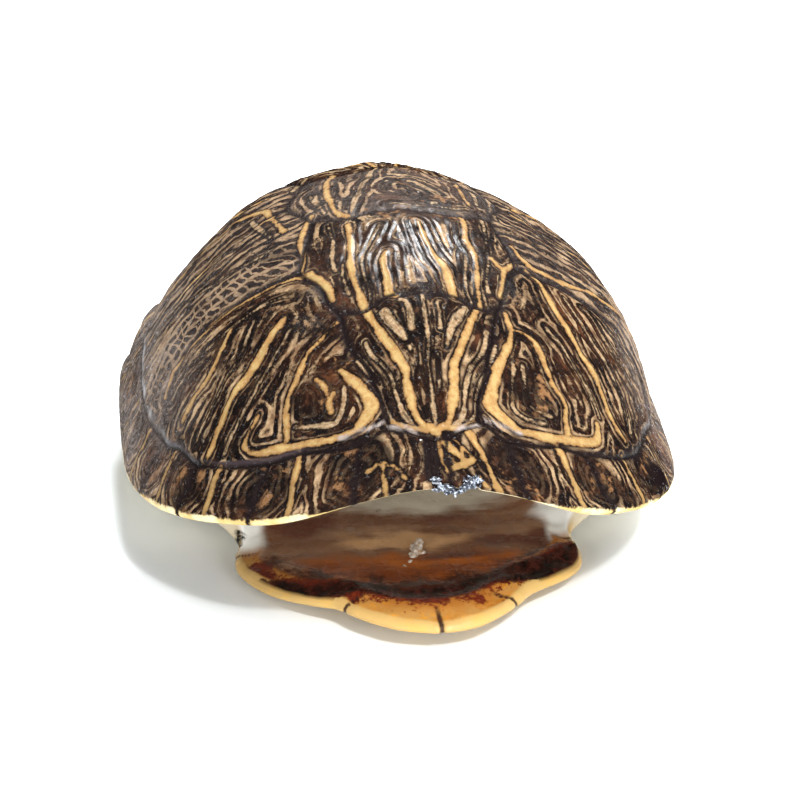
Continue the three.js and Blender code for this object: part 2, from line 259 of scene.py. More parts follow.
# Bars of golden horn: (width in mm, [(degrees from the head end, share of the way to the rim)]).
# Several widths are spread evenly over the bar. Minus is the left side.
BARS = [
    # first costal, left
    ((2.0, 3.6, 3.0, 2.6, 2.4), [(-48, .585), (-49, .65), (-49, .72), (-51, .77), (-51, .81),
        (-51, .85), (-51, .902)]),
    (1.9, [(-64, .67), (-62, .73), (-62, .77), (-62, .79), (-63, .83), (-63, .87)]),
    ((0.9, 1.2, 1.7, 2.2, 2.5, 2.4, 2.2), [(-42, .795), (-42, .816), (-43, .847), (-43, .862),
        (-40, .872), (-31, .842), (-21, .831), (-18, .822)]),
    ((1.0, 2.6, 2.0), [(-24.5, .728), (-25, .75), (-24, .772)]),
    (1.2, [(-30, .70), (-27, .712), (-26, .735)]),
    ((0.5, 0.8, 1.5, 1.9, 1.8, 1.7, 1.6), [(-29, .55), (-33, .61), (-35, .64), (-35, .69),
        (-36, .74), (-35, .78), (-33, .83)]),
    ((1.6, 3.2, 4.4, 3.8, 2.6), [(-24, .675), (-20, .70), (-16, .735), (-14, .77), (-15, .79),
        (-17, .815)]),
    # second costal, left
    (1.9, [(-52, .468), (-59, .503), (-62, .538), (-68, .603), (-72, .655), (-74, .70),
        (-75, .745), (-76, .79), (-76, .83), (-74, .865)]),
    (1.9, [(-81, .313), (-73, .356), (-68, .388), (-58, .418), (-54, .452)]),
    (1.9, [(-103, .453), (-91, .423), (-82, .407)]),
    # first costal, right
    (2.0, [(33, .545), (31, .59), (28, .62)]),
    ((2.2, 3.2, 4.4, 3.4), [(28, .62), (21, .67), (17, .72), (14, .77), (16, .80), (19, .822)]),
    (2.6, [(19, .825), (24, .832), (31, .844), (38, .864), (41, .866), (42, .853), (43, .84)]),
    (1.7, [(31, .59), (34, .60), (37, .626), (37, .66), (36, .70), (35, .74), (36, .78), (34, .81),
        (33, .835)]),
    ((1.6, 2.8, 2.6, 2.2, 2.0), [(58, .48), (59, .53), (55, .57), (53, .62), (52, .67), (51, .71),
        (51, .75), (50, .79), (49, .83), (49, .86), (50, .89)]),
    # second costal, right
    (1.8, [(65, .41), (62, .44), (62, .49), (67, .54), (73, .60), (78, .65), (83, .745),
        (85, .84)]),
    # first vertebral
    ((2.4, 3.0, 2.4, 1.8, 1.5), [(-19, .527), (-15, .57), (-10, .63), (-8, .664), (-6, .69),
        (-6, .73), (-5, .76), (-5, .79), (-3, .83), (-1, .846)]),
    ((2.0, 2.4, 2.9, 2.2, 1.5), [(21, .526), (17, .56), (13, .60), (10, .64), (7, .68), (6, .73),
        (5, .77), (4, .80), (3, .83), (1, .844)]),
    (1.3, [(-9.6, .814), (-5, .836), (0, .847), (5, .837), (9.6, .816)]),
    (2.6, [(-1.5, .838), (0, .846), (1.5, .838)]),
    # first marginals
    (1.4, [(-14, .925), (-11, .905), (-10.6, .95), (-10, 1)]),
    (1.2, [(-11, .91), (-8, .93), (-6.5, .965)]),
    (1.9, [(7, .85), (8.6, .90), (9.6, .95), (10, 1)]),
    ((1.0, 1.6, 1.2), [(0.1, .860), (0.5, .91), (1.1, .955)]),
    ((1.6, 3.0, 2.2, 1.0), [(0.6, .862), (2.0, .880), (3.2, .902), (4.0, .915)]),
    (0.8, [(2.2, .852), (4.4, .880), (6.4, .912)]),
    ((1.0, 2.4, 2.0), [(2.0, .945), (4.2, .935), (6.6, .918)]),
    (0.8, [(1.0, .905), (2.4, .912), (3.0, .935)]),
    (0.8, [(4.6, .895), (4.4, .912), (4.9, .93)]),
    (1.2, [(7, .955), (7.6, .99)]),
    # second vertebral
    (1.9, [(-50, .256), (-37, .32), (-33, .38), (-28, .43), (-24, .47), (-21, .51)]),
    ((1.2, 2.6, 2.8, 2.8, 2.2), [(-15, .34), (-16, .37), (-13, .42), (-12, .478), (-9, .484)]),
    ((1.0, 1.6, 2.6, 3.0, 2.2), [(9, .227), (10, .296), (12, .357), (15, .40), (15, .44),
        (14, .486)]),
    (1.7, [(57, .24), (37, .317), (38, .353), (32, .414), (27, .455), (24, .514)]),
    (1.6, [(44, .40), (45, .44), (56, .445)]),
    (1.8, [(46, .443), (40, .474), (36, .50)]),
    ((3.4, 3.0, 2.0, 1.2), [(-49, .452), (-43, .458), (-38, .468), (-34, .50)]),
    # third vertebral
    (1.9, [(-139, .294), (-111, .249), (-87, .234), (-70, .242), (-58, .228)]),
    (1.6, [(112, .246), (91, .23), (80, .254)]),
]
FAINT_BARS = [
    (1.2, [(-58, .62), (-57, .66), (-55, .70), (-56, .75), (-56, .81), (-56, .85), (-56, .885)]),
    (1.3, [(-44, .60), (-44, .655), (-45, .71), (-46, .76), (-46, .79), (-47, .84), (-47, .885)]),
    (1.5, [(-22, .715), (-21, .76), (-22, .80), (-27, .80), (-32, .805)]),
    (1.1, [(-49, .52), (-54, .54), (-59, .58), (-65, .66), (-67, .71), (-71, .79), (-71, .86)]),
    (1.2, [(45, .62), (46, .705), (46, .775), (45, .83)]),
    (1.5, [(64, .595), (62, .64), (59, .69), (59, .75), (58, .79), (57, .83), (55, .87),
        (54, .885)]),
    (1.2, [(68, .65), (67, .69), (65, .73), (64, .78), (65, .82), (65, .86), (64, .88)]),
    (1.1, [(72, .66), (71, .71), (70, .76), (70, .81), (69, .86)]),
    (1.4, [(26, .67), (22, .73), (20, .78), (23, .80), (28, .81)]),
    (1.3, [(29, .675), (26, .73), (25, .776), (30, .794)]),
    (1.1, [(1, .49), (1, .54), (1, .61), (0, .67), (0, .73), (0, .78), (0, .84)]),
    (1.6, [(-7.5, .498), (-5, .505), (-4, .54), (-4, .588)]),
    (1.6, [(8, .505), (6, .51), (6, .54), (5, .59)]),
    ((3.4, 3.2, 2.0), [(-13, .53), (-9, .576), (-6, .61)]),
    ((2.6, 3.4, 2.4, 1.4), [(17, .52), (12, .55), (8, .59), (6, .636)]),
    (0.9, [(-2, .636), (-2, .69), (-1, .73)]),
    (0.9, [(3, .656), (2, .743)]),
    (1.3, [(-18, .61), (-16, .64), (-13, .664), (-10, .70), (-9, .735), (-8, .765), (-7, .80),
        (-4, .84)]),
    (1.0, [(-20, .636), (-16, .67), (-13, .70), (-12, .73)]),
    (1.3, [(-20, .65), (-16, .69), (-13, .72), (-12, .75), (-11, .78), (-10, .81), (-6, .835)]),
    (1.5, [(22, .584), (17, .645), (12, .68), (10, .714), (8, .76), (7, .805), (4, .838)]),
    (1.3, [(23, .62), (17, .684), (13, .725), (11, .76), (10, .80), (7, .83)]),
    (1.2, [(-24, .235), (-26, .30), (-28, .36), (-24, .415), (-20, .46), (-19, .49), (-20, .51)]),
    (1.2, [(31, .36), (24, .42), (21, .465), (21, .504)]),
    (1.2, [(70, .30), (55, .33), (34, .44), (31, .48)]),
    (1.2, [(-64, .29), (-49, .33), (-43, .39), (-38, .42)]),
    (1.1, [(-36, .395), (-33, .433), (-28, .476)]),
    # third vertebral and second costal, left
    ((1.2, 2.0, 2.6, 2.2, 1.4), [(-170, .224), (-143, .118), (-88, .128), (-67, .177),
        (-59, .207)]),
    (1.0, [(-82, .207), (-68, .23)]),
    (2.4, [(137, .075), (96, .098), (82, .139)]),
    (2.4, [(50, .134), (57, .147)]),
    (1.2, [(107, .292), (88, .284)]),
    (1.8, [(104, .354), (90, .335), (82, .35)]),
    (1.0, [(-164, .067), (-32, .037)]),
    (1.4, [(-21, .115), (47, .137), (74, .248)]),
    (2.0, [(-117, .384), (-142, .388), (-155, .298)]),
    (2.0, [(159, .337), (135, .268), (120, .241)]),
    (1.0, [(-105, .305), (-89, .285)]),
    (1.2, [(-101, .281), (-77, .272)]),
    (1.6, [(-101, .504), (-91, .471), (-84, .449)]),
    (0.9, [(-76, .447), (-78, .496), (-81, .566), (-85, .646), (-89, .73), (-94, .82),
        (-97, .88)]),
    (0.9, [(-90, .515), (-91, .549), (-93, .613), (-95, .692), (-94, .765)]),
]
# Bars of the marginals, and of the scutes behind, where the two sides are much the same.
PAIRED_BARS = [
    (2.0, [(29, .862), (28.5, .92), (28, 1)]),
    (1.9, [(47, .91), (46.5, .95), (46, 1)]),
    (1.6, [(61, .915), (61, .95), (60, 1)]),
    (1.6, [(73, .922), (73, .96), (73, 1)]),
    (1.6, [(85, .922), (85, .96), (85, 1)]),
    (1.6, [(97, .92), (97, .96), (97, 1)]),
    (1.7, [(109, .91), (109, .95), (109, 1)]),
    (1.7, [(122, .90), (122, .95), (122, 1)]),
    (1.8, [(137, .886), (137, .94), (137, 1)]),
    (1.8, [(153, .876), (153, .94), (153, 1)]),
    (1.8, [(171, .87), (171, .93), (171, 1)]),
    (2.0, [(96, .43), (97, .55), (96, .66), (95, .78), (94, .885)]),
    (1.6, [(104, .46), (108, .55), (106, .68), (104, .80), (103, .88)]),
    (1.7, [(114, .47), (117, .58), (117, .70), (117, .82), (119, .875)]),
    (2.1, [(133, .50), (128, .60), (126, .72), (127, .84)]),
    (1.8, [(141, .56), (139, .66), (138, .76), (139, .86)]),
    (1.6, [(146, .60), (149, .70), (150, .78), (152, .85)]),
    (1.8, [(166, .33), (160, .42), (156, .50)]),
    (1.5, [(172, .25), (171, .36), (170, .46)]),
    (1.8, [(168, .58), (163, .68), (160, .78), (164, .84)]),
    (1.4, [(175, .60), (174, .70), (175, .82)]),
]


def drawn(bar):
    """The bar as a smooth line of points on the dome."""
    corners = np.array(bar, float)
    at = np.linspace(0, len(corners) - 1, 3 * (len(corners) - 1) + 1)
    whole = np.arange(len(corners))
    eased = np.stack([np.interp(at, whole, corners[:, i]) for i in (0, 1)], axis=1)
    eased[1:-1] = (eased[:-2] + 2 * eased[1:-1] + eased[2:]) / 4
    return dome_point(eased[:, 0], eased[:, 1])


def within(bars):
    """Signed distance to the nearest bar's edge, in mm: negative inside a bar."""
    nearest = np.full(count, 30.0)
    for width, bar in bars:
        line = drawn(bar)
        given = np.atleast_1d(width)
        widths = np.interp(np.linspace(0, 1, len(line)), np.linspace(0, 1, len(given)), given)
        near = np.all((bare > line.min(0) - 12) & (bare < line.max(0) + 12), axis=1)
        some, best = bare[near], np.full(near.sum(), 30.0)
        for i, start in enumerate(line[:-1]):
            way = line[i + 1] - start
            along = np.clip((some - start) @ way / (way @ way), 0, 1)
            gap = np.linalg.norm(some - start - along[:, None] * way, axis=1)
            best = np.minimum(best, gap - (widths[i] + (widths[i + 1] - widths[i]) * along) / 2)
        nearest[near] = np.minimum(nearest[near], best)
    return nearest


mirrored = [(width, [(-a, s) for a, s in bar]) for width, bar in PAIRED_BARS]
gold = within(BARS + PAIRED_BARS + mirrored)
faint = within(FAINT_BARS)

# Fine stripes run along the nearest bar or seam. On the second costals and behind they lie across
# the scute in rows, and on the marginals they ring the dark blotch at each seam.
across = np.minimum(gold, faint + 0.6) + 1.0
along = np.linalg.norm(bare - [0, APEX_Y, HEIGHT], axis=1)
between = np.array([distance_to(plan, line) for line in COSTAL_CROSSINGS])
rowed = ~on_marginals & ~is_vertebral & (costal >= 1)
across = np.where(rowed, np.min(between, axis=0) * 0.62, across)
crosswise = ~on_marginals & is_vertebral
along = np.where(crosswise, bare[:, 1], along)
ring_turn = np.min(to_each[1:], axis=0)
half_way = (share - (seam_share + 1) / 2) * down
rings = np.hypot(ring_turn, half_way * 0.8)
across = np.where(on_marginals, rings, across)
along = np.where(on_marginals, np.arctan2(half_way, ring_turn) * 6, along)
# Dark blotches without stripes: one at each marginal seam and one in the middle of a first costal.
hearts = dome_point(np.array([-28.0, -24.0, 27.0]), np.array([0.745, 0.70, 0.725]))
heart = np.min([np.linalg.norm(bare - at, axis=1) for at in hearts], axis=0) - 3.5
crown_at = dome_point(np.array([20.0]), np.array([0.12]))
crown = np.linalg.norm((bare - crown_at) / [1.0, 0.8, 1.0], axis=1) - 10
blotch = np.where(on_marginals, rings - 2.4 - 2.4 * (1 - smooth(turn, 30, 40)),
    np.minimum(heart, crown))
edge = np.where(row > OUTER_ROWS, 0.0, (1 - share) * down)

# Relief: scutes swell between their seams, the back has low knobs, and seams are fine grooves.
swell = PILLOW * (0.5 - np.exp(-np.minimum(seam, 60) / PILLOW_REACH))
swell = swell * (1 - smooth(share, 0.93, 1))
knobs = np.max([np.exp(-(((bare[:, 1] - y) / 12) ** 2) - (bare[:, 0] / 9) ** 2)
                for y in KEEL_KNOBS_Y], axis=0)
groove = 0.45 * bell(seam, 0.7) * (1 - 0.6 * smooth(share, 0.985, 1))
terraces = 0.12 * np.sin(across * 2 * np.pi / 2.4 + waves(bare, 14, 8)) * smooth(seam, 0.8, 3)
terraces *= 1 - smooth(share, 0.96, 1)
raised_bars = 0.14 * (1 - smooth(gold, -0.6, 0.5))
uneven = waves(bare, 11, 9) * 0.18 + waves(bare, 5, 10) * 0.10
# The marginals overlap like tiles: each lifts towards its rear end, most over the hind legs.
ends = np.array(MARGINAL_SEAMS, float)
tile = np.clip(np.searchsorted(ends, wavy_turn) - 1, 0, len(ends) - 2)
lift = np.clip((wavy_turn - ends[tile]) / (ends[tile + 1] - ends[tile]), 0, 1) ** 1.5
lift *= smooth((ends[tile + 1] - wavy_turn) * round_rim, 0.0, 1.6)
lift *= ((1.3 + 1.2 * smooth(turn, 103, 112)) * smooth(turn, 91, 103)
         * (1 - 0.8 * smooth(turn, 135, 172)))
lift = (lift - 1.1 * bell(turn - 85, 9)) * smooth(to_margin, 0, 6)
# The areola of each first costal stands up as a small knob with a pit below it.
knob_at, pit_at = dome_point(np.array([-45.0, -43.0]), np.array([0.50, 0.555]))
areola = 1.1 * bell(np.linalg.norm(bare - knob_at, axis=1), 3.6)
areola -= 0.8 * bell(np.linalg.norm(bare - pit_at, axis=1), 4.0)
relief = (swell + KEEL * knobs - groove + terraces + raised_bars + areola
          + lift * (1 - smooth(share, 0.97, 1)))
relief += uneven * (1 - smooth(share, 0.95, 1))
# A bare welt of dark horn runs along the foot of the costals, above the marginals, tinted with a
# painted purple-grey sheen.
welt = bell(to_margin + 0.9, 0.65 + 0.2 * waves(bare, 21, 24))
welt *= smooth(turn, 20, 34) * (1 - smooth(turn, 90, 110)) * (1 - 0.55 * smooth(angle, 0, 20))
relief += 0.12 * welt


def spot(at_angle, wide, at_share, deep):
    """1 at one place on the dome, and less the further from it."""
    return np.exp(-(((angle - at_angle) / wide) ** 2) - ((share - at_share) / deep) ** 2)


# A black wart on the right fifth marginal, with a nick in the rim in front of it.
wart = spot(56, 3.2, 0.972, 0.03)
nick = bell(angle - 51.5, 1.2) * smooth(share, 0.95, 1)
relief += 2.0 * wart - 1.2 * nick
# The vault is a little fuller high on the left and low on the right, and drawn in under that.
fuller = 3.4 * spot(92, 32, 0.75, 0.15)
fuller += 2.0 * spot(-128, 28, 0.52, 0.2)
fuller -= 2.6 * spot(82, 18, 0.945, 0.035)
place = bare + normal * (relief + fuller)[:, None]
half_rim = RIM_THICKNESS / 2 * (0.45 + 0.55 * smooth(turn, 14, 30))
place[:, 2] += half_rim * smooth(share, 0.955, 1)

rim = rim_point(angle)
inwards = np.stack([-rim[:, 0], APEX_Y - rim[:, 1]], axis=1)
inwards /= np.linalg.norm(inwards, axis=1, keepdims=True)
near_rim = smooth(share, 0.90, 1)
rim[:, :2] -= inwards * (lift * near_rim)[:, None]
place[:, :2] -= inwards * (lift * smooth(share, 0.97, 1))[:, None]
for i, depth in enumerate([-1.0, *UNDERSIDE_DEPTHS]):
    here = row == OUTER_ROWS + 1 + i
    inset = -0.15 if depth < 0 else 0.9 + (RIM_DEPTH - 0.9) * depth
    rise = 0.0 if depth < 0 else RIM_UNDERCUT * depth - half_rim[here]
    place[here, :2] = rim[here, :2] + inwards[here] * inset
    place[here, 2] = rim[here, 2] + rise
    edge[here] = -max(inset, 0.0) - (1.3 if depth < 0 else 2.6)
# The cream horn of the rim is widest beside the neck, thin over it, and ragged along the flanks.
edge += (1.8 * (1 - smooth(turn, 17, 27)) + 0.8 * smooth(turn, 60, 74)
         + 0.4 * smooth(angle, 24, 40) - 0.3)
wall = WALL + (SEAM_WALL - WALL) * smooth(0.84 * inner_row, 0.55, 0.84)
ribs = 0.25 * waves(bare, 20, 12) + 0.12 * waves(bare, 6, 13)
place = np.where(inside[:, None], bare + normal * (fuller - wall - ribs)[:, None], place)
# The front rim is broken away beside the cervical scute.
broken = smooth(rim[:, 0], -4.5, -2.0) * (1 - smooth(rim[:, 0], 8.5, 11.0)) * (rim[:, 1] < 0)
bite = broken * (1.8 + 1.0 * waves(bare, 4, 15)) * near_rim * ~inside
place[:, 1] += bite
place[:, 2] += waves(bare, 3, 16) * 0.5 * broken * smooth(share, 0.97, 1) * ~inside
place[row == 0] = [0, APEX_Y, HEIGHT - KEEL]
place[row == rows_in_all] = [0, APEX_Y, HEIGHT - KEEL - WALL]

shape(carapace_mesh, place)
keep(carapace_mesh, seam=np.minimum(seam, 3.4 - 4.6 * wart), gold=gold, faint=faint, edge=edge,
     blotch=blotch, flow=(across, along, scute * 3.7 + (angle > 0) * 1.9))

# Tints: red for rust-brown ground, green for a pale grey that is partly worn horn and partly
# painted sheen, blue for the rowed second costals.
rust = np.clip(0.45 + 0.4 * waves(bare, 30, 20), 0, 1)
rust = np.where(rowed, rust * 0.5, rust)
# Painted sheen: the flanks are greyed where the horn turns away at a glancing angle.
flank = smooth(turn, 52, 80) * smooth(share, 0.66, 0.88)
grey = np.clip(0.04 + flank * (0.75 + 0.25 * waves(bare, 24, 21)), 0, 1)
grey = np.where(on_marginals, grey,
    np.maximum(grey, np.select([scute == 2, scute == 1, rowed], [0.3, 0.08, 0.16], 0.03)))
near_front = bell(between[0] - 9, 8)
weave = np.where(rowed, np.where((costal == 1) & (angle < 0), 0.5 + 0.5 * near_front, 0.5),
    np.where(scute == 2, 0.35, 0.0))
# Painted highlights: thin grey lines along the seams at the front of the back.
sheen_lines = [[(-21, .834), (-15, .822), (-11.5, .812)], [(12, .812), (15, .822), (20, .832)],
               [(-10, .823), (-4, .841)], [(4, .841), (10, .823)]]
sheen = np.min([distance_to(bare, drawn(line)) for line in sheen_lines], axis=0)
grey = np.maximum(grey, 3.0 * (1 - smooth(sheen, 0.0, 0.75)))
rusty_side = spot(71, 9, 0.905, 0.045)
rust = rust + 1.6 * rusty_side
rust = rust * (1 - wart) ** 2
grey = grey * (1 - wart)
keep(carapace_mesh, tint=(rust, grey, weave))

# Where handling has polished the varnish: the crown of the back, in streaks.
polish = np.exp(-(((bare[:, 1] + 38) / 17) ** 2) - ((bare[:, 0] - 2) / 26) ** 2)
# The horn is crumpled round the areolae, where it is oldest.
crumpled_at = dome_point(np.array([-40.0, -45.0, 42.0, 3.0]), np.array([0.58, 0.51, 0.50, 0.485]))
crumple = np.max([bell(np.linalg.norm(bare - at, axis=1), size)
                  for at, size in zip(crumpled_at, (5.5, 5.0, 4.5, 2.4))], axis=0)
keep(carapace_mesh, wear=(polish, welt, crumple))

corner_rows = np.empty(len(carapace_mesh.loops), dtype=np.int32)
carapace_mesh.loops.foreach_get("vertex_index", corner_rows)
starts = np.empty(len(carapace_mesh.polygons), dtype=np.int32)
carapace_mesh.polygons.foreach_get("loop_start", starts)
face_row = np.minimum.reduceat(row[corner_rows], starts)
faces_inside = (face_row >= FIRST_INNER - 1).astype(np.int32)
carapace_mesh.polygons.foreach_set("material_index", faces_inside)


class Output:
    """One output of a finish's nodes. Sums with it add the nodes that work them out."""

    def __init__(self, finish, socket):
        self.finish, self.socket = finish, socket

    def __add__(self, other):
        return self.finish.sum("ADD", self, other)

    def __sub__(self, other):
        return self.finish.sum("SUBTRACT", self, other)

    def __rsub__(self, other):
        return self.finish.sum("SUBTRACT", other, self)

    def __mul__(self, other):
        return self.finish.sum("MULTIPLY", self, other)

    def __truediv__(self, other):
        return self.finish.sum("DIVIDE", self, other)


class Finish:
    """The nodes of one finish, with short ways to add them."""

    def __init__(self, name):
        self.material = bpy.data.materials.new(name)
        self.material.use_nodes = True
        self.tree = self.material.node_tree
        self.surface = self.tree.nodes["Principled BSDF"]
        self.place = self.made("ShaderNodeTexCoord", {}, "Object")

    def node(self, kind, **settings):
        made = self.tree.nodes.new(kind)
        for key, value in settings.items():
            setattr(made, key, value)
        return made

    def output(self, socket):
        return Output(self, socket)

    def made(self, kind, inputs, output=0, **settings):
        """Output of a new node, with its inputs fed by name or number."""
        made = self.node(kind, **settings)
        for key, value in inputs.items():
            self.feed(made.inputs[key], value)
        return self.output(made.outputs[output])

    def feed(self, socket, value):
        if isinstance(value, Output):
            self.tree.links.new(value.socket, socket)
        elif isinstance(value, tuple) and len(value) == 3 and socket.type == "RGBA":
            socket.default_value = (*value, 1.0)
        else:
            socket.default_value = value

    def dress(self, **looks):
        """Feeds the surface: dress(Roughness=0.4) and so on, with _ for a space."""
        for name, value in looks.items():
            self.feed(self.surface.inputs[name.replace("_", " ")], value)

    def attribute(self, name, output="Fac"):
        return self.made("ShaderNodeAttribute", {}, output, attribute_name=name)

    def split(self, vector):
        made = self.node("ShaderNodeSeparateXYZ")
        self.feed(made.inputs[0], vector)
        return [self.output(socket) for socket in made.outputs]

    def sum(self, kind, a, b=0.0, c=0.0):
        return self.made("ShaderNodeMath", {0: a, 1: b, 2: c}, operation=kind)

    def least(self, a, b):
        return self.sum("MINIMUM", a, b)

    def most(self, a, b):
        return self.sum("MAXIMUM", a, b)

    def move(self, kind, a, b):
        return self.made("ShaderNodeVectorMath", {0: a, 1: b}, operation=kind)

    def noise(self, scale, detail=3.0, roughness=0.55, at=None):
        return self.made("ShaderNodeTexNoise", {
            "Vector": at or self.place, "Scale": scale, "Detail": detail,
            "Roughness": roughness}, "Fac")

    def step(self, value, low, high, first=0.0, last=1.0):
        return self.made("ShaderNodeMapRange", {
            "Value": value, "From Min": low, "From Max": high, "To Min": first, "To Max": last},
            interpolation_type="SMOOTHSTEP")

    def mix(self, factor, a, b):
        return self.made("ShaderNodeMix", {0: factor, 6: a, 7: b}, 2, data_type="RGBA")

    def coated(self, tone, *coats):
        """The tone with coats of (share, tone) laid over it in turn."""
        for share, coat in coats:
            tone = self.mix(share, tone, coat)
        return tone

    def bump(self, height, strength, distance, normal=None):
        inputs = {"Height": height, "Strength": strength, "Distance": distance}
        return self.made("ShaderNodeBump", inputs if normal is None else {**inputs,
            "Normal": normal})


BLACK_HORN = (0.0026, 0.0017, 0.0017)
CHESTNUT = (0.012, 0.0045, 0.0025)
TAN = (0.235, 0.140, 0.070)
PALE_TAN = (0.345, 0.250, 0.150)
GOLD = (0.350, 0.242, 0.098)
SEAM_HORN = (0.0065, 0.0037, 0.0042)
WELT_HORN_SHEEN = (0.036, 0.023, 0.026)
RIM_CREAM = (0.72, 0.60, 0.37)
RUST_BROWN = (0.095, 0.03, 0.01)
STRIPE_BROWN = (0.115, 0.06, 0.03)
STRIPE_TAN = (0.35, 0.24, 0.135)
HALO_BROWN = (0.013, 0.0056, 0.0034)
ROW_BROWN = (0.115, 0.07, 0.043)
ROW_TAN = (0.31, 0.215, 0.135)
ROW_BLACK = (0.01, 0.0074, 0.0076)
CRUMB_BROWN = (0.048, 0.02, 0.01)
MOTTLE_BROWN = (0.085, 0.03, 0.01)
MOTTLE_TAN = (0.3, 0.16, 0.07)
OLD_GOLD = (0.29, 0.165, 0.06)
GOLD_BORDER = (0.22, 0.115, 0.042)
RIM_GOLD = (0.2, 0.12, 0.045)
RIM_AMBER = (0.56, 0.39, 0.15)
WORN_GREY_AND_SHEEN = (0.31, 0.26, 0.235)
DRY_BONE = (0.62, 0.56, 0.45)
TAN_BONE = (0.36, 0.26, 0.17)
SPOT_BROWN = (0.25, 0.16, 0.1)

horn = Finish("carapace_horn_finish")
seam_gap = horn.attribute("seam")
gold_gap = horn.attribute("gold")
faint_gap = horn.attribute("faint")
edge_gap = horn.attribute("edge")
rusty, greyed, woven = horn.split(horn.attribute("tint", "Vector"))
across_at, along_at, which = horn.split(horn.attribute("flow", "Vector"))
polish_at, welt_at, crumple_at = horn.split(horn.attribute("wear", "Vector"))
drift = horn.noise(110, 2)
ragged = horn.noise(700, 3, 0.6) * 1.6 - 0.8
shifted = drift * 3.4 + across_at


def streaks(width, length):
    """Streaks that follow the flow, of about that width and length in mm."""
    return horn.made("ShaderNodeCombineXYZ", {0: shifted / width, 1: along_at / length, 2: which})


broad = horn.noise(1.0, 2, 0.5, streaks(2.2, 16.0))
fine = horn.noise(1.0, 3, 0.65, streaks(1.1, 6.0))
beads = horn.noise(900, 3, 0.65)
patchy = horn.noise(75, 3, 0.6)
striped = horn.sum("SINE", shifted * (2 * np.pi / 2.7))
stripe = striped * 0.15 + (fine * 0.75 + broad)
stripe = beads * 0.5 + stripe
stripe = patchy * 0.5 + stripe
stripe_mask = horn.step(stripe, 1.34, 1.60)
halo_mask = horn.step(stripe, 1.20, 1.45)
crossed = horn.sum("SINE", along_at * (2 * np.pi / 2.9) + drift * 18.0)
in_blocks = horn.step(woven, 0.55, 0.95)
blocks = horn.most(striped, crossed) * 0.5
blocks = beads * 0.4 + (fine * 0.6 + blocks)
blocks = horn.step(blocks, 0.74, 0.94) * in_blocks
rows = striped * 0.32 + (fine * 1.7 + broad)
rows = patchy * 0.5 + (beads * 0.7 + rows)
rows_mask = horn.step(rows, 1.92, 2.2) * (1.0 - in_blocks)
rows_mask += blocks
stripe_mask = stripe_mask * (1.0 - woven) + rows_mask * woven
clear_of_bars = horn.step(horn.least(gold_gap, faint_gap), 0.25, 1.1)
stripe_mask *= clear_of_bars
stripe_mask *= horn.step(patchy, 0.34, 0.52, 0.35, 1.0)
blotch_gap = drift * -6.0 + horn.attribute("blotch")
stripe_mask *= horn.step(blotch_gap, 0.5, 3.5, 0.1, 1.0)

browned = horn.noise(190, 5, 0.75) * (rusty + 0.25)
ground = horn.mix(horn.step(browned, 0.22, 0.62), BLACK_HORN, CHESTNUT)
ground = horn.mix(horn.step(browned * fine, 0.24, 0.42, 0.0, 0.6), ground, RUST_BROWN)
stripe_tone = horn.mix(horn.step(horn.noise(260, 4, 0.7), 0.3, 0.7), STRIPE_BROWN, STRIPE_TAN)
ground = horn.mix(halo_mask * horn.step(blotch_gap, 0.5, 3.5, 0.15, 0.7), ground, HALO_BROWN)
stripe_tone = horn.mix(woven * 0.75, stripe_tone, horn.mix(beads, ROW_BROWN, ROW_TAN))
ground = horn.mix(woven * horn.step(patchy, 0.3, 0.7, 0.2, 0.8), ground, ROW_BLACK)
crumbs = horn.noise(330, 4, 0.75)
ground = horn.mix(horn.step(crumbs, 0.52, 0.66, 0.0, 0.75), ground, CRUMB_BROWN)
drawn_out = horn.move("MULTIPLY", horn.place, (1.0, 1.0, 0.5))
mottled = horn.step(horn.noise(170, 4, 0.65, drawn_out), 0.56, 0.66, 0.0, 0.9)
mottled *= horn.step(blotch_gap, 0.5, 4.5, 1.0, 0.12)
ground = horn.mix(mottled, ground, horn.mix(beads, MOTTLE_BROWN, MOTTLE_TAN))
beside_bars = horn.step(horn.least(gold_gap, faint_gap) + ragged, 0.2, 1.4, 0.7, 0.0)
ground = horn.mix(beside_bars, ground, BLACK_HORN)
colour = horn.mix(stripe_mask, ground, stripe_tone)
colour = horn.mix(horn.step(ragged + seam_gap, 0.7, 2.6, 0.75, 0.0), colour, SEAM_HORN)
crumbled = crumple_at * horn.step(crumbs, 0.54, 0.62)
colour = horn.coated(colour, (crumple_at * 0.6, BLACK_HORN), (crumbled * 0.7, TAN))
faint_edge = patchy * 2.6 + (ragged * 0.8 + faint_gap)
faint_mask = horn.step(faint_edge, 0.75, 1.35, 0.92, 0.0) * horn.step(fine, 0.36, 0.56, 0.22, 1.0)
colour = horn.mix(faint_mask, colour, horn.mix(horn.step(beads, 0.35, 0.65), TAN, PALE_TAN))
swollen = horn.noise(150, 3) * -2.6 + 1.35
gold_edge = ragged * 0.8 + (gold_gap + swollen)
gold_mask = horn.step(gold_edge, -0.25, 0.3, 1.0, 0.0)
gold_tone = horn.mix(horn.step(horn.noise(330, 4, 0.75), 0.38, 0.58), OLD_GOLD, GOLD)
gold_tone = horn.coated(gold_tone,
    (horn.step(gold_edge, -1.0, 0.1), GOLD_BORDER),
    (horn.step(edge_gap, 9.0, 19.0, 0.55, 0.0), RIM_GOLD))
